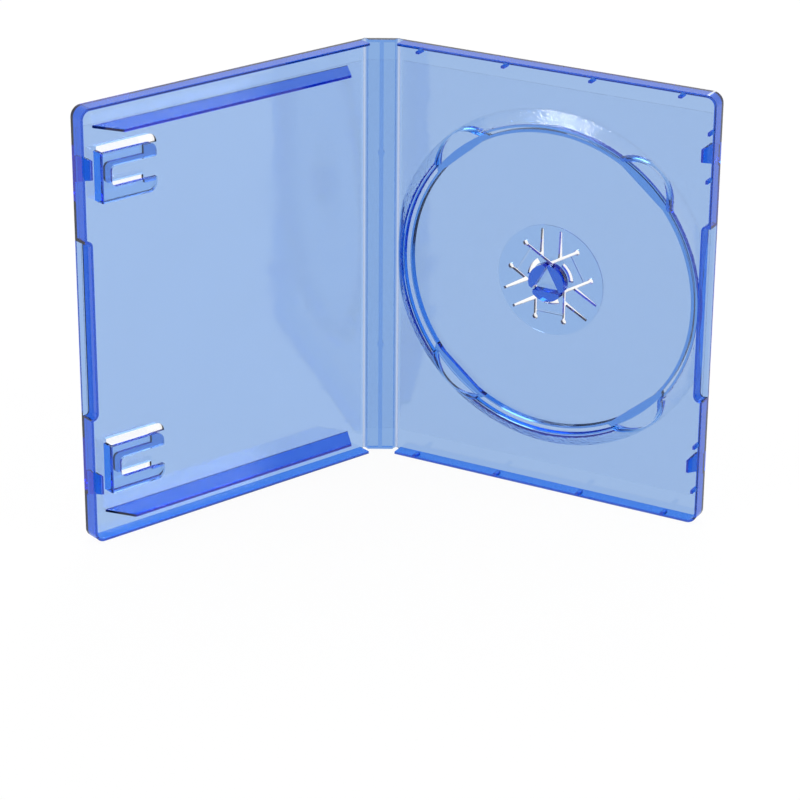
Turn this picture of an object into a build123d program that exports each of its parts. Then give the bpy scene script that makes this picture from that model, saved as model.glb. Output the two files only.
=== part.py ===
"""Disc case, standing open: a front cover and a disc tray folded at two living hinges on a narrow spine."""
import os
from math import cos, radians, sin, sqrt, tan

from build123d import *

# Overall sizes, in millimetres
case_height = 171.0
leaf_width = 134.0
spine_width = 13.4  # from one hinge axis to the other
panel_thickness = 1.2
wall_thickness = 1.0
cover_depth = 6.7
tray_depth = 6.5
corner_radius = 4.2
outer_edge_round = 0.4

# How far each leaf is folded from flat as the case stands
cover_angle = 39.4
tray_angle = 28.5

# Living hinges: thin webs in a groove, with a round bead on the hinge axis
web_thickness = 0.5
web_flat = 0.5  # from the axis to the foot of the groove's slope
hinge_clearance = 0.1
rim_start = 2.4  # where the top and bottom walls of a leaf begin

# Spine
spine_thickness = 1.6
spine_rib_width = 1.6
spine_rib_height = 0.5
spine_tab_depth = 2.2
spine_tab_height = 1.0
pin_mark_radius = 1.3
pin_mark_inset = 45.5

# Finger recess in the middle of each free edge
recess_length = 69.0
cover_recess_depth = 2.4
tray_recess_depth = 3.0
recess_corner = 1.5

# Disc seat: a ring with a ledge for the disc's edge, hollow underneath
hub_along = 67.0
disc_radius = 60.0
disc_clearance = 1.4
ledge_width = 2.2
ledge_level = 3.2
crest_level = 5.0
crest_width = 1.7
crest_round = 0.8
shoulder_run = 4.7
ring_draft = 0.3
ring_end_gap = 2.0
scoop_radius = 14.5
scoop_reach = 5.3
scoop_level = 2.4
scoop_angle = 50.0

# Hub: a plate with three sprung arms, each with a lobe that grips the disc
hub_plate_radius = 22.2
hub_plate_rise = 0.25
lobe_radius = 7.45
lobe_level = 5.5
lobe_chamfer = 0.5
web_corner_radius = 7.0
slot_width = 1.1
slot_end_radius = 1.1
arm_slot_length = 12.5
tongue_half_width = 3.9
tongue_slot_base = 1.7
tongue_slot_tip = 0.9
tongue_slot_end = 20.4
crescent_gap = 0.4
crescent_width = 1.9
crescent_spread = 25.0
crease_distance = 13.2
crease_width = 0.7
crease_depth = 0.35

# Cover: two long fins and two booklet clips
fin_inset = 8.8
fin_thickness = 1.0
fin_depth = 12.0
fin_hinge_end = 9.0
fin_free_end = 125.5
fin_end_slant = 6.5
clip_free_side = 125.4
clip_width = 24.0
clip_height = 19.0
clip_level = 6.4
clip_thickness = 1.7
clip_wall = 1.2
clip_corner = 3.5
clip_slot_height = 8.0
clip_slot_end = 4.3
clip_slot_corner = 2.0
clip_inset = 27.8
window_reach = 3.6
window_rise = 1.3
tongue_root_rise = 3.2
tongue_root_length = 6.2

# Latches: a cover tab goes in behind the tray's wall, and a tray hook stands behind the tab
latch_inset = 23.5
latch_gap = 0.7
tab_thickness = 0.7
tab_height = 10.0
tab_taper = 2.6
tab_depth = 9.8
tab_seat_depth = 2.0
hook_gap = 0.4
hook_thickness = 0.9
hook_height = 8.0
hook_taper = 3.0
hook_depth = 10.2
hook_seat_depth = 2.0

# Locating nubs on the tray's walls, which reach into the cover
nub_width = 1.4
nub_reach = 1.2
nub_depth = 8.6
nub_foot = 2.2
nub_clearance = 0.3
nub_pitch = 36.0
nub_middle = 66.2
side_nub_insets = (14.0, 32.4)

# Clear film sleeve, welded to the outside
film_thickness = 0.15
film_gap = 0.05
film_margin = 8.5
film_edge_gap = 2.5
film_hinge_gap = 1.6

# Frames of the three rigid parts: local y is up, local z points into the case
axis_depth = web_thickness / 2
spine_face = spine_thickness / 2  # the spine's outer face, so that the origin is at the middle of its foot
axis_place = spine_face - axis_depth
cover_turn = radians(cover_angle)
tray_turn = radians(tray_angle)
middle = case_height / 2
spine_plane = Plane(origin=(0, spine_face, 0), x_dir=(1, 0, 0), z_dir=(0, -1, 0))
# In the cover's frame x runs towards the hinge, so distances from the hinge are negative
cover_plane = Plane(
    origin=(
        -spine_width / 2 - axis_depth * sin(cover_turn),
        axis_place + axis_depth * cos(cover_turn),
        0,
    ),
    x_dir=(cos(cover_turn), sin(cover_turn), 0),
    z_dir=(sin(cover_turn), -cos(cover_turn), 0),
)
tray_plane = Plane(
    origin=(
        spine_width / 2 + axis_depth * sin(tray_turn),
        axis_place + axis_depth * cos(tray_turn),
        0,
    ),
    x_dir=(cos(tray_turn), -sin(tray_turn), 0),
    z_dir=(-sin(tray_turn), -cos(tray_turn), 0),
)
hub_plane = Plane(
    origin=tray_plane.from_local_coords((hub_along, middle, 0)),
    x_dir=tray_plane.x_dir,
    z_dir=tray_plane.z_dir,
)
# Half-section through the hub axis: x is the radius, y is the depth into the case
section_plane = Plane(
    origin=hub_plane.origin,
    x_dir=hub_plane.x_dir,
    z_dir=hub_plane.x_dir.cross(hub_plane.z_dir),
)
hub_axis = Axis(hub_plane.origin, hub_plane.z_dir)


def both_ends(inset):
    """The two levels at a distance from the foot and from the top."""
    return (inset, case_height - inset)


def strip(start, end, low, high, mode=Mode.ADD):
    """A rectangle in the open sketch, given by its sides."""
    with Locations(((start + end) / 2, (low + high) / 2)):
        Rectangle(abs(end - start), high - low, mode=mode)


def draw_leaf(sketch, side, start):
    """A leaf's outline from a distance off the hinge to the free edge, with round free corners."""
    strip(side * start, side * leaf_width, 0, case_height)
    fillet(sketch.vertices().sort_by(Axis.X, reverse=side > 0)[:2], corner_radius)


def draw_rim(sketch, side, recess_depth):
    """The wall's section round three sides of a leaf, stepped in at the finger recess."""
    draw_leaf(sketch, side, rim_start)
    with Locations((side * leaf_width, middle)):
        Rectangle(2 * recess_depth, recess_length, mode=Mode.SUBTRACT)
    step = side * (leaf_width - recess_depth)
    fillet([v for v in sketch.vertices() if abs(v.X - step) < wall_thickness / 10], recess_corner)
    offset(amount=-wall_thickness, kind=Kind.INTERSECTION, mode=Mode.SUBTRACT)
    low = wall_thickness
    strip(0, side * (rim_start + wall_thickness), low, case_height - low, mode=Mode.SUBTRACT)


def draw_tab(root_height, taper, level, start, end):
    """A standing tab's outline: x is the depth into the case, y is up, with a slanted lower side."""
    low = level - root_height / 2
    high = level + root_height / 2
    Polygon((start, low), (end, low + taper), (end, high), (start, high), align=None)


def side_plane(plane, along):
    """A plane across a leaf at a distance along it: x is the depth into the case, y is up."""
    return Plane(origin=plane.from_local_coords((along, 0, 0)), x_dir=plane.z_dir, z_dir=-plane.x_dir)


def level_plane(plane, level):
    """A level plane through a leaf: x runs along the leaf, y is the depth, and it is extruded downwards."""
    origin = plane.from_local_coords((0, level, 0))
    return Plane(origin=origin, x_dir=plane.x_dir, z_dir=-plane.y_dir)


def draw_groove(side):
    """A leaf's section at the hinge: the web, then the slope up to the panel's inner face."""
    near = side * (axis_depth + hinge_clearance)
    Polygon(
        (near, 0),
        (near, web_thickness),
        (side * web_flat, web_thickness),
        (side * groove_end, panel_thickness),
        (side * groove_end, 0),
        align=None,
    )


def round_outer_edges(leaf, plane):
    """Rounds the outer face's edges along the free side and both ends of a leaf."""
    chosen = []
    for edge in leaf.edges():
        spot = plane.to_local_coords(edge @ 0.5)
        at_end = abs(spot.Y - middle) > middle - outer_edge_round
        at_free_side = abs(spot.X) > leaf_width - corner_radius
        if abs(spot.Z) < hinge_clearance and (at_end or at_free_side):
            chosen.append(edge)
    fillet(chosen, outer_edge_round)


def draw_scoops():
    """The finger scoops' outlines in the open sketch, outside the disc's edge."""
    with Locations(*scoop_spots):
        Circle(scoop_radius)
    Circle(seat_radius, mode=Mode.SUBTRACT)


def draw_clip_slot(sketch, end, level):
    """Takes a booklet clip's slot, open at the clip's end, out of the open sketch."""
    slot_low = level - clip_slot_height / 2
    slot_end = -clip_free_side + clip_slot_end
    strip(slot_end, -end, slot_low, slot_low + clip_slot_height, mode=Mode.SUBTRACT)
    fillet([v for v in sketch.vertices() if abs(v.X - slot_end) < clip_wall / 10], clip_slot_corner)


# Where the slope of a leaf's hinge groove meets the panel's inner face
groove_end = web_flat + panel_thickness - web_thickness

# Disc seat levels and radii that follow from the sizes above
seat_radius = disc_radius + disc_clearance
ledge_radius = seat_radius - ledge_width
crest_radius = seat_radius + crest_width
shoulder_radius = crest_radius + shoulder_run
floor_level = panel_thickness
ring_near = ring_end_gap
ring_far = leaf_width - tray_recess_depth - wall_thickness / 2
scoop_centre = seat_radius + scoop_reach - scoop_radius
scoop_angles = (scoop_angle, 180 - scoop_angle, 180 + scoop_angle, -scoop_angle)
scoop_spots = [Vector(scoop_centre, 0).rotate(Axis.Z, angle) for angle in scoop_angles]
# Half the width of a scoop where it crosses the disc's edge, and the ledge's straight inner side there
scoop_half = sqrt(scoop_radius**2 - (seat_radius - scoop_centre) ** 2)
chord_radius = sqrt(ledge_radius**2 - scoop_half**2)
corner_angles = (90, 210, 330)
arm_turn = 60  # from the direction of a corner to that of the next arm
arm_angles = [angle + arm_turn for angle in corner_angles]
hub_plate_level = panel_thickness + hub_plate_rise

# Latch and wall places along a leaf
wall_inner = leaf_width - wall_thickness
top_inner = case_height - wall_thickness
tab_outer = wall_inner - latch_gap
tab_inner = tab_outer - tab_thickness
hook_outer = tab_inner - hook_gap
nub_start = tray_depth - nub_foot
nub_spots = [nub_middle + nub_pitch * step for step in (-1.5, -0.5, 0.5, 1.5)]
clip_end = clip_free_side - clip_width
window_end = clip_end - window_reach

os.makedirs("parts", exist_ok=True)

# Hollow under the disc seat's ring, which keeps its wall about as thin as the panel
with BuildPart() as ring_hollow:
    with BuildSketch(section_plane):
        with BuildLine():
            Polyline(
                (ledge_radius + wall_thickness, 0),
                (ledge_radius + wall_thickness, ledge_level - wall_thickness),
                (seat_radius + wall_thickness, ledge_level - wall_thickness),
                (seat_radius + wall_thickness, crest_level - wall_thickness),
                (crest_radius - wall_thickness / 2, crest_level - wall_thickness),
                (shoulder_radius - wall_thickness / 2, 0),
                close=True,
            )
        make_face()
    revolve(axis=hub_axis)
    with BuildSketch(tray_plane):
        strip(ring_near + wall_thickness, ring_far - wall_thickness, 0, case_height)
    extrude(amount=crest_level, mode=Mode.INTERSECT)
    with BuildSketch(hub_plane):
        with Locations(*scoop_spots):
            Circle(scoop_radius + wall_thickness)
    extrude(amount=crest_level, mode=Mode.SUBTRACT)

# Disc tray: the back leaf
with BuildPart() as disc_tray:
    # Raised ring round the disc, cut off at the hinge and at the finger recess
    with BuildSketch(section_plane) as ring:
        with BuildLine():
            Polyline(
                (ledge_radius - ring_draft, 0),
                (ledge_radius - ring_draft, floor_level),
                (ledge_radius, ledge_level),
                (seat_radius, ledge_level),
                (seat_radius + ring_draft, crest_level),
                (crest_radius, crest_level),
                (shoulder_radius, floor_level),
                (shoulder_radius, 0),
                close=True,
            )
        make_face()
        fillet(ring.vertices().group_by(Axis.Y)[-1].sort_by(Axis.X)[-1], crest_round)
    revolve(axis=hub_axis)
    with BuildSketch(tray_plane):
        strip(ring_near, ring_far, 0, case_height)
    extrude(amount=crest_level, mode=Mode.INTERSECT)
    # The ledge is wider and straight on its inner side at each scoop
    with BuildSketch(hub_plane):
        for angle in scoop_angles:
            spot = Vector((chord_radius + ledge_radius) / 2, 0).rotate(Axis.Z, angle)
            with Locations(Location((spot.X, spot.Y, 0), (0, 0, angle))):
                Rectangle(ledge_radius - chord_radius, 2 * scoop_half)
    extrude(amount=ledge_level)
    # Panel, with its web and the slope of the hinge's groove
    with BuildSketch(tray_plane) as panel:
        draw_leaf(panel, 1, groove_end)
    extrude(amount=panel_thickness)
    with BuildSketch(level_plane(tray_plane, case_height)):
        draw_groove(1)
    extrude(amount=case_height)
    # Rim
    with BuildSketch(tray_plane) as rim:
        draw_rim(rim, 1, tray_recess_depth)
    extrude(amount=tray_depth)
    round_outer_edges(disc_tray, tray_plane)
    # Plate round the hub, and the lobes that grip the disc, standing round a triangle
    with BuildSketch(hub_plane):
        Circle(hub_plate_radius)
    extrude(amount=hub_plate_level)
    with BuildSketch(hub_plane):
        Circle(lobe_radius)
    extrude(amount=lobe_level)
    chamfer(disc_tray.edges().filter_by(GeomType.CIRCLE).sort_by(hub_axis)[-1], lobe_chamfer)
    with BuildSketch(hub_plane.offset(hub_plate_level)):
        RegularPolygon(web_corner_radius, 3, rotation=90)
    extrude(amount=lobe_level, mode=Mode.SUBTRACT)
    # Hollow under the ring, and the finger scoops across it with a hollow under each
    add(ring_hollow.part, mode=Mode.SUBTRACT)
    with BuildSketch(hub_plane.offset(scoop_level)):
        draw_scoops()
    extrude(amount=crest_level, mode=Mode.SUBTRACT)
    with BuildSketch(hub_plane):
        draw_scoops()
    extrude(amount=scoop_level - panel_thickness, mode=Mode.SUBTRACT)
    # Slots along both sides of each arm, with round ends
    with BuildSketch(hub_plane):
        for angle in corner_angles:
            for turn in (-1, 1):
                direction = angle + turn * arm_turn
                start = Vector(web_corner_radius, 0).rotate(Axis.Z, angle)
                run = Vector(arm_slot_length, 0).rotate(Axis.Z, direction)
                spot = start + run / 2
                with Locations(Location((spot.X, spot.Y, 0), (0, 0, direction))):
                    SlotCenterToCenter(arm_slot_length, slot_width)
                with Locations(start + run):
                    Circle(slot_end_radius)
                # A wedge along a tongue's side, from the arm's slot outwards
                side_start = web_corner_radius + tongue_half_width / tan(radians(arm_turn))
                side_middle = (side_start + tongue_slot_end) / 2
                spot = Vector(side_middle, turn * tongue_half_width).rotate(Axis.Z, angle)
                half_length = (tongue_slot_end - side_start) / 2
                with Locations(Location((spot.X, spot.Y, 0), (0, 0, angle))):
                    Polygon(
                        (-half_length, -tongue_slot_base / 2),
                        (half_length, -tongue_slot_tip / 2),
                        (half_length, tongue_slot_tip / 2),
                        (-half_length, tongue_slot_base / 2),
                        align=None,
                    )
    extrude(amount=lobe_level, mode=Mode.SUBTRACT)
    # A crescent opening outside each lobe
    with BuildSketch(hub_plane):
        Circle(lobe_radius + crescent_gap + crescent_width)
        Circle(lobe_radius + crescent_gap, mode=Mode.SUBTRACT)
        for angle in corner_angles:
            wedge = Vector(2 * hub_plate_radius, 0)
            Polygon(
                (0, 0),
                wedge.rotate(Axis.Z, angle - arm_turn + crescent_spread),
                wedge.rotate(Axis.Z, angle + arm_turn - crescent_spread),
                align=None,
                mode=Mode.SUBTRACT,
            )
    extrude(amount=hub_plate_level, mode=Mode.SUBTRACT)
    # A crease across the root of each arm
    with BuildSketch(hub_plane.offset(hub_plate_level - crease_depth)):
        for angle in arm_angles:
            spot = Vector(crease_distance, 0).rotate(Axis.Z, angle)
            with Locations(Location((spot.X, spot.Y, 0), (0, 0, angle))):
                Rectangle(crease_width, web_corner_radius * sqrt(3) - slot_width)
    extrude(amount=crease_depth, mode=Mode.SUBTRACT)
    # Latch hooks, each on a low seat against the wall
    for level in both_ends(latch_inset):
        with BuildSketch(side_plane(tray_plane, hook_outer)):
            draw_tab(hook_height, hook_taper, level, floor_level, hook_depth)
        extrude(amount=hook_thickness)
        with BuildSketch(side_plane(tray_plane, wall_inner)):
            strip(floor_level, hook_seat_depth, level - hook_height / 2, level + hook_height / 2)
        extrude(amount=wall_inner - hook_outer)
    # Locating nubs on the free edge, then on the bottom and top walls
    for inset in side_nub_insets:
        for level in both_ends(inset):
            with BuildSketch(level_plane(tray_plane, level + nub_width / 2)):
                strip(wall_inner - nub_reach, wall_inner, nub_start, tray_depth)
                strip(wall_inner - nub_reach, wall_inner - nub_clearance, nub_start, nub_depth)
            extrude(amount=nub_width)
    for along in nub_spots:
        with BuildSketch(side_plane(tray_plane, along + nub_width / 2)):
            strip(nub_start, tray_depth, wall_thickness, wall_thickness + nub_reach)
            strip(nub_start, nub_depth, wall_thickness + nub_clearance, wall_thickness + nub_reach)
            strip(nub_start, tray_depth, top_inner - nub_reach, top_inner)
            strip(nub_start, nub_depth, top_inner - nub_reach, top_inner - nub_clearance)
        extrude(amount=nub_width)
disc_tray.part.label = "disc_tray"
export_step(disc_tray.part, "parts/disc_tray.step")

# Spine: a narrow panel between two hinge grooves, with a bead on each hinge axis
spine_half = spine_width / 2
spine_flat = spine_half - web_flat - (spine_thickness - web_thickness)
with BuildPart() as spine:
    with BuildSketch(level_plane(spine_plane, case_height)):
        Polygon(
            (-spine_half, 0),
            (-spine_half, web_thickness),
            (-spine_half + web_flat, web_thickness),
            (-spine_flat, spine_thickness),
            (spine_flat, spine_thickness),
            (spine_half - web_flat, web_thickness),
            (spine_half, web_thickness),
            (spine_half, 0),
            align=None,
        )
        with Locations((-spine_half, axis_depth), (spine_half, axis_depth)):
            Circle(axis_depth)
    extrude(amount=case_height)
    # Stiffening rib, round pin marks and end tabs
    with BuildSketch(spine_plane):
        strip(-spine_rib_width / 2, spine_rib_width / 2, 0, case_height)
        with Locations(*[(0, level) for level in both_ends(pin_mark_inset)]):
            Circle(pin_mark_radius)
    extrude(amount=spine_thickness + spine_rib_height)
    with BuildSketch(spine_plane):
        strip(-spine_flat, spine_flat, 0, spine_tab_height)
        strip(-spine_flat, spine_flat, case_height - spine_tab_height, case_height)
    extrude(amount=spine_tab_depth)
spine.part.label = "spine"
export_step(spine.part, "parts/spine.step")

# Front cover
with BuildPart() as front_cover:
    # Panel, web and rim
    with BuildSketch(cover_plane) as cover_panel:
        draw_leaf(cover_panel, -1, groove_end)
    extrude(amount=panel_thickness)
    with BuildSketch(level_plane(cover_plane, case_height)):
        draw_groove(-1)
    extrude(amount=case_height)
    with BuildSketch(cover_plane) as cover_rim:
        draw_rim(cover_rim, -1, cover_recess_depth)
    extrude(amount=cover_depth)
    round_outer_edges(front_cover, cover_plane)
    # Long fins along the top and bottom, with slanted ends
    for top_side in (fin_inset + fin_thickness, case_height - fin_inset):
        with BuildSketch(level_plane(cover_plane, top_side)):
            Polygon(
                (-fin_free_end, floor_level),
                (-fin_free_end + fin_end_slant, fin_depth),
                (-fin_hinge_end - fin_end_slant, fin_depth),
                (-fin_hinge_end, floor_level),
                align=None,
            )
        extrude(amount=fin_thickness)
    # Booklet clips: a plate on a wall at its free side, over a window with a tongue left in it
    for level in both_ends(clip_inset):
        clip_low = level - clip_height / 2
        clip_high = level + clip_height / 2
        with BuildSketch(cover_plane.offset(clip_level - clip_thickness)) as plate:
            strip(-clip_free_side, -clip_end, clip_low, clip_high)
            fillet(plate.vertices().sort_by(Axis.X)[-2:], clip_corner)
            draw_clip_slot(plate, clip_end, level)
        extrude(amount=clip_thickness)
        with BuildSketch(cover_plane) as window:
            strip(-clip_free_side + clip_wall, -window_end, clip_low - window_rise, clip_high + window_rise)
            fillet(window.vertices().sort_by(Axis.X)[-2:], clip_corner)
            draw_clip_slot(window, window_end, level)
            with Locations((-window_end, level)):
                Rectangle(
                    2 * tongue_root_length,
                    clip_slot_height + 2 * tongue_root_rise,
                    mode=Mode.SUBTRACT,
                )
        extrude(amount=panel_thickness, mode=Mode.SUBTRACT)
        with BuildSketch(cover_plane):
            strip(-clip_free_side, -clip_free_side + clip_wall, clip_low, clip_high)
        extrude(amount=clip_level)
    # Latch tabs, each on a seat against the wall
    for level in both_ends(latch_inset):
        with BuildSketch(side_plane(cover_plane, -tab_inner)):
            draw_tab(tab_height, tab_taper, level, floor_level, tab_depth)
        extrude(amount=tab_thickness)
        with BuildSketch(side_plane(cover_plane, -tab_inner)):
            strip(floor_level, tab_seat_depth, level - tab_height / 2, level + tab_height / 2)
        extrude(amount=wall_inner - tab_inner)
front_cover.part.label = "front_cover"
export_step(front_cover.part, "parts/front_cover.step")

# Clear film sleeve on the outside, one panel to each rigid part
film_low = film_margin
film_high = case_height - film_margin
with BuildPart() as back_film:
    with BuildSketch(tray_plane.offset(-film_gap)):
        strip(film_hinge_gap, leaf_width - film_edge_gap, film_low, film_high)
    extrude(amount=-film_thickness)
back_film.part.label = "back_film"
export_step(back_film.part, "parts/back_film.step")

with BuildPart() as spine_film:
    with BuildSketch(spine_plane.offset(-film_gap)):
        strip(-spine_width / 2 + film_hinge_gap, spine_width / 2 - film_hinge_gap, film_low, film_high)
    extrude(amount=-film_thickness)
spine_film.part.label = "spine_film"
export_step(spine_film.part, "parts/spine_film.step")

with BuildPart() as front_film:
    with BuildSketch(cover_plane.offset(-film_gap)):
        strip(-film_hinge_gap, -leaf_width + film_edge_gap, film_low, film_high)
    extrude(amount=-film_thickness)
front_film.part.label = "front_film"
export_step(front_film.part, "parts/front_film.step")
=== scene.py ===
import bpy
from math import radians
from mathutils import Matrix, Vector

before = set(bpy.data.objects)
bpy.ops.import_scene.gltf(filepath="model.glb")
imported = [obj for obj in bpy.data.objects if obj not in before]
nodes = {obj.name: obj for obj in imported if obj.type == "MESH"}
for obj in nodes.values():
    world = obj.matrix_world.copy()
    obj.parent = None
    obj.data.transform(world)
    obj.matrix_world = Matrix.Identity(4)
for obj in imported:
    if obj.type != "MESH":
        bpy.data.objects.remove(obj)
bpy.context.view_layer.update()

# The photograph's view, as fitted to the case's edges; the image is 800 by 800
PICTURE_SIZE = 800
FOCAL_PIXELS = 3083
SENSOR_MM = 36
CAMERA_PLACE = Vector((0.0079, -1.1308, 0.5147))
CAMERA_PITCH = 23.59
CAMERA_ROLL = 0.41
CAMERA_NEAR = 0.01

# The white surroundings, as a light on the case and as they are seen
FILL_STRENGTH = 0.7
SEEN_STRENGTH = 1.0

# The floor lies just under the case. FLOOR_GLOW is how much of its look is plain white, so that
# only a soft shadow is left on it
FLOOR_SIZE = 8
FLOOR_HEIGHT = -0.0005
FLOOR_GLOW = 0.95

# Each lamp's name, place, width, height and watts; all are aimed at the middle of the case
LAMP_AIM = Vector((0, -0.03, 0.08))
LAMPS = (
    ("key_lamp", (-0.62, -0.36, 1.15), 0.8, 0.05, 4),
    ("side_lamp", (0.9, -0.5, 0.7), 0.5, 0.5, 5),
    ("back_lamp", (0.1, 0.9, 0.9), 0.7, 0.7, 6),
)

# Light runs a long way inside the clear walls
LIGHT_BOUNCES = 48

# Polypropylene's index of refraction, moulded or as film
POLYPROPYLENE_IOR = 1.49

# Painted shade: the deep blue that the plastic's surface lets through where a wall stands on
# edge, in place of the light carried along inside such walls
PAINTED_SHADE_BLUE = "#4D95F1"

# Cosines of a face's angle to the panel: at the first a wall starts to count as upright, and at
# the second it does so fully
UPRIGHT_START = 0.72
UPRIGHT_FULL = 0.3

# The same cosine on the hinge grooves' slopes, at 45 degrees, and on the disc seat's shoulder, at
# 39 degrees, each with how far a face may be from it
GROOVE_COSINE, GROOVE_SPREAD = 0.707, 0.02
SHOULDER_COSINE, SHOULDER_SPREAD = 0.777, 0.03

# How much of the painted deep-blue shade raised tops and groove slopes take, and the height over
# which raised tops come into it
RAISED_SHARE = 0.25
GROOVE_SHARE = 0.5
RAISED_BLEND = 0.0001

# The part of a noise's range that the polish follows
NOISE_LOW, NOISE_HIGH = 0.35, 0.7

# For each moulded piece: its material's name; the panel's direction into the case as it stands,
# with the cover folded by 39.4 degrees and the tray by 28.5; its outer face's place along that
# direction and the depth from there at which raised tops begin, in metres; the panel's tint. The
# tray's tint is a little darker than the cover's and the spine's darker still, as painted shade
MOULDINGS = {
    "front_cover": (
        "clear_blue_polypropylene_cover", (0.6347, -0.7727, 0), -0.00493, 0.0047, "#E3E1F0"),
    "disc_tray": (
        "clear_blue_polypropylene_tray", (-0.4772, -0.8788, 0), -0.00393, 0.0053, "#DADAEA"),
    "spine": (
        "clear_blue_polypropylene_spine", (0, -1, 0), -0.0008, 0.0017, "#CDD2E6"),
}
FILMS = ("back_film", "spine_film", "front_film")


def linear(code):
    """An sRGB hex colour as linear red, green, blue and alpha."""
    parts = [int(code[i:i + 2], 16) / 255 for i in (1, 3, 5)]
    return [c / 12.92 if c <= 0.04045 else ((c + 0.055) / 1.055) ** 2.4 for c in parts] + [1.0]


def node(tree, kind, inputs, **settings):
    """Adds a shader node with its settings; each input gets a value, or a link from another
    node's output."""
    made = tree.nodes.new(kind)
    for name, value in settings.items():
        setattr(made, name, value)
    for socket, value in inputs.items():
        if isinstance(value, bpy.types.NodeSocket):
            tree.links.new(value, made.inputs[socket])
        else:
            made.inputs[socket].default_value = value
    return made


def blank_material(name):
    """A material with no nodes yet, and its node tree."""
    material = bpy.data.materials.new(name)
    material.use_nodes = True
    material.node_tree.nodes.clear()
    return material, material.node_tree


def blue_polypropylene(name, facing, outer_face, raised_depth, panel_tint_and_shade):
    """Clear blue polypropylene, injection moulded: glossy, and pale through one wall, because
    the light is absorbed over its way through the plastic. Walls that stand on edge to the panel
    carry light along inside them; their surface is tinted deep blue for this, as painted shade.
    The panel faces into the case along facing, from outer_face, and what stands further in than
    raised_depth is tinted part of the way to that deep blue, painted shade too."""
    material, tree = blank_material(name)
    place = node(tree, "ShaderNodeTexCoord", {}).outputs
    along = node(tree, "ShaderNodeVectorMath", {
        0: place["Normal"], 1: facing}, operation="DOT_PRODUCT")
    flat = node(tree, "ShaderNodeMath", {
        0: along.outputs["Value"]}, operation="ABSOLUTE").outputs[0]
    # Walls standing on edge to the panel take the painted deep-blue shade in full
    upright = node(tree, "ShaderNodeMapRange", {
        "Value": flat, "From Min": UPRIGHT_START, "From Max": UPRIGHT_FULL,
        "To Min": 0.0, "To Max": 1.0})
    # Painted shade on the tops of the rim, of the hub's lobes, of the booklet clips and of the
    # spine's rib
    depth = node(tree, "ShaderNodeVectorMath", {
        0: place["Object"], 1: facing}, operation="DOT_PRODUCT")
    raised = node(tree, "ShaderNodeMapRange", {
        "Value": depth.outputs["Value"], "From Min": outer_face + raised_depth,
        "From Max": outer_face + raised_depth + RAISED_BLEND,
        "To Min": 0.0, "To Max": RAISED_SHARE})
    # Painted shade on the slopes of the hinge grooves, half of the deep blue
    groove = node(tree, "ShaderNodeMath", {
        0: flat, 1: GROOVE_COSINE, 2: GROOVE_SPREAD}, operation="COMPARE")
    half_deep = node(tree, "ShaderNodeMath", {
        0: groove.outputs[0], 1: GROOVE_SHARE}, operation="MULTIPLY")
    deeper = node(tree, "ShaderNodeMath", {
        0: half_deep.outputs[0], 1: raised.outputs[0]}, operation="MAXIMUM")
    deep = node(tree, "ShaderNodeMath", {
        0: upright.outputs[0], 1: deeper.outputs[0]}, operation="MAXIMUM")
    # The panel's tint, mixed towards the painted deep-blue shade
    tint = node(tree, "ShaderNodeMix", {
        0: deep.outputs[0], 6: linear(panel_tint_and_shade), 7: linear(PAINTED_SHADE_BLUE)}, data_type="RGBA")
    # Moulded surface: polish that varies over patches of about 30 mm, and waves of about 8 mm,
    # too low to feel
    patches = node(tree, "ShaderNodeTexNoise", {
        "Vector": place["Object"], "Scale": 33, "Detail": 3})
    polish = node(tree, "ShaderNodeMapRange", {
        "Value": patches.outputs["Fac"], "From Min": NOISE_LOW, "From Max": NOISE_HIGH,
        "To Min": 0.03, "To Max": 0.09})
    waves = node(tree, "ShaderNodeTexNoise", {
        "Vector": place["Object"], "Scale": 120, "Detail": 2})
    ripple = node(tree, "ShaderNodeBump", {
        "Height": waves.outputs["Fac"], "Strength": 0.25, "Distance": 0.0001})
    # The disc seat's shoulder has a grain of about 1 mm that sparkles
    on_slope = node(tree, "ShaderNodeMath", {
        0: flat, 1: SHOULDER_COSINE, 2: SHOULDER_SPREAD}, operation="COMPARE")
    grains = node(tree, "ShaderNodeTexNoise", {
        "Vector": place["Object"], "Scale": 900, "Detail": 1})
    height = node(tree, "ShaderNodeMath", {
        0: grains.outputs["Fac"], 1: on_slope.outputs[0]}, operation="MULTIPLY")
    sparkle = node(tree, "ShaderNodeBump", {
        "Height": height.outputs[0], "Strength": 1.0, "Distance": 0.00012,
        "Normal": ripple.outputs[0]})
    shader = node(tree, "ShaderNodeBsdfPrincipled", {
        "Base Color": tint.outputs[2], "Roughness": polish.outputs[0],
        "IOR": POLYPROPYLENE_IOR, "Transmission Weight": 1.0, "Normal": sparkle.outputs[0]})
    absorb = node(tree, "ShaderNodeVolumeAbsorption", {
        "Color": (0.0, 0.52, 0.92, 1.0), "Density": 600})
    node(tree, "ShaderNodeOutputMaterial", {
        "Surface": shader.outputs[0], "Volume": absorb.outputs[0]})
    return material


def clear_film():
    """Clear polypropylene film: colourless, glossy and slightly crinkled over about 20 mm, a
    little duller in places from handling."""
    material, tree = blank_material("clear_polypropylene_film")
    place = node(tree, "ShaderNodeTexCoord", {}).outputs
    crinkles = node(tree, "ShaderNodeTexNoise", {
        "Vector": place["Object"], "Scale": 45, "Detail": 3})
    crinkle = node(tree, "ShaderNodeBump", {
        "Height": crinkles.outputs["Fac"], "Strength": 0.3, "Distance": 0.0005})
    polish = node(tree, "ShaderNodeMapRange", {
        "Value": crinkles.outputs["Fac"], "From Min": NOISE_LOW, "From Max": NOISE_HIGH,
        "To Min": 0.02, "To Max": 0.1})
    shader = node(tree, "ShaderNodeBsdfPrincipled", {
        "Base Color": linear("#FFFFFF"), "Roughness": polish.outputs[0],
        "IOR": POLYPROPYLENE_IOR, "Transmission Weight": 1.0, "Normal": crinkle.outputs[0]})
    node(tree, "ShaderNodeOutputMaterial", {"Surface": shader.outputs[0]})
    return material


def give(piece, material):
    """Makes one material the only one on a piece."""
    piece.data.materials.clear()
    piece.data.materials.append(material)


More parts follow.
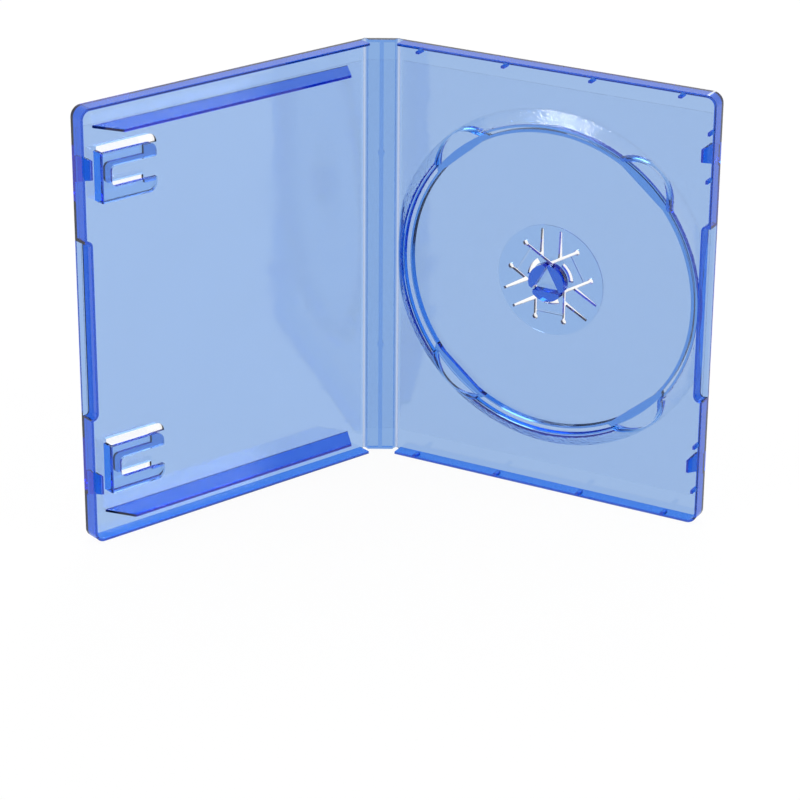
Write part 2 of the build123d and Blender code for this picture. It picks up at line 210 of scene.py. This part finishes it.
def white_for_view(tree):
    """1 for what is seen straight, by reflection or through the plastic, else 0."""
    path = node(tree, "ShaderNodeLightPath", {}).outputs
    seen = node(tree, "ShaderNodeMath", {
        0: path["Is Camera Ray"], 1: path["Is Glossy Ray"]}, operation="MAXIMUM")
    return node(tree, "ShaderNodeMath", {
        0: seen.outputs[0], 1: path["Is Transmission Ray"]}, operation="MAXIMUM").outputs[0]


def studio():
    """White surroundings, a pale floor that keeps the shadow, and soft lamps."""
    scene = bpy.context.scene
    world = bpy.data.worlds.new("studio")
    scene.world = world
    world.use_nodes = True
    tree = world.node_tree
    tree.nodes.clear()
    fill = node(tree, "ShaderNodeBackground", {
        "Color": linear("#FFFFFF"), "Strength": FILL_STRENGTH})
    white = node(tree, "ShaderNodeBackground", {
        "Color": linear("#FFFFFF"), "Strength": SEEN_STRENGTH})
    mix = node(tree, "ShaderNodeMixShader", {
        0: white_for_view(tree), 1: fill.outputs[0], 2: white.outputs[0]})
    node(tree, "ShaderNodeOutputWorld", {"Surface": mix.outputs[0]})

    bpy.ops.object.select_all(action="DESELECT")
    bpy.ops.mesh.primitive_plane_add(size=FLOOR_SIZE, location=(0, 0, FLOOR_HEIGHT))
    floor = bpy.context.object
    floor.name = "studio_floor"
    material, tree = blank_material("pale_paper_floor")
    paper = node(tree, "ShaderNodeBsdfDiffuse", {"Color": linear("#F4F4F4")})
    glow = node(tree, "ShaderNodeEmission", {
        "Color": linear("#FFFFFF"), "Strength": SEEN_STRENGTH})
    part = node(tree, "ShaderNodeMath", {
        0: white_for_view(tree), 1: FLOOR_GLOW}, operation="MULTIPLY")
    mix = node(tree, "ShaderNodeMixShader", {
        0: part.outputs[0], 1: paper.outputs[0], 2: glow.outputs[0]})
    node(tree, "ShaderNodeOutputMaterial", {"Surface": mix.outputs[0]})
    give(floor, material)

    for name, place, width, height, watts in LAMPS:
        data = bpy.data.lights.new(name, "AREA")
        data.shape = "RECTANGLE"
        data.size = width
        data.size_y = height
        data.energy = watts
        lamp = bpy.data.objects.new(name, data)
        scene.collection.objects.link(lamp)
        lamp.location = place
        aim = LAMP_AIM - Vector(place)
        lamp.rotation_euler = aim.to_track_quat("-Z", "Y").to_euler()


def photo_camera():
    """The camera at the photograph's place and angle."""
    data = bpy.data.cameras.new("photo_camera")
    data.sensor_width = SENSOR_MM
    data.lens = FOCAL_PIXELS / PICTURE_SIZE * SENSOR_MM
    data.clip_start = CAMERA_NEAR
    camera = bpy.data.objects.new("photo_camera", data)
    bpy.context.scene.collection.objects.link(camera)
    tilt = Matrix.Rotation(radians(90 - CAMERA_PITCH), 4, "X")
    roll = Matrix.Rotation(radians(CAMERA_ROLL), 4, "Z")
    camera.matrix_world = Matrix.Translation(CAMERA_PLACE) @ tilt @ roll
    bpy.context.scene.camera = camera


for moulding, looks in MOULDINGS.items():
    give(nodes[moulding], blue_polypropylene(*looks))
film = clear_film()
for name in FILMS:
    give(nodes[name], film)

studio()
photo_camera()
bpy.context.scene.view_settings.view_transform = "Standard"
cycles = bpy.context.scene.cycles
cycles.max_bounces = LIGHT_BOUNCES
cycles.transmission_bounces = LIGHT_BOUNCES
cycles.glossy_bounces = LIGHT_BOUNCES
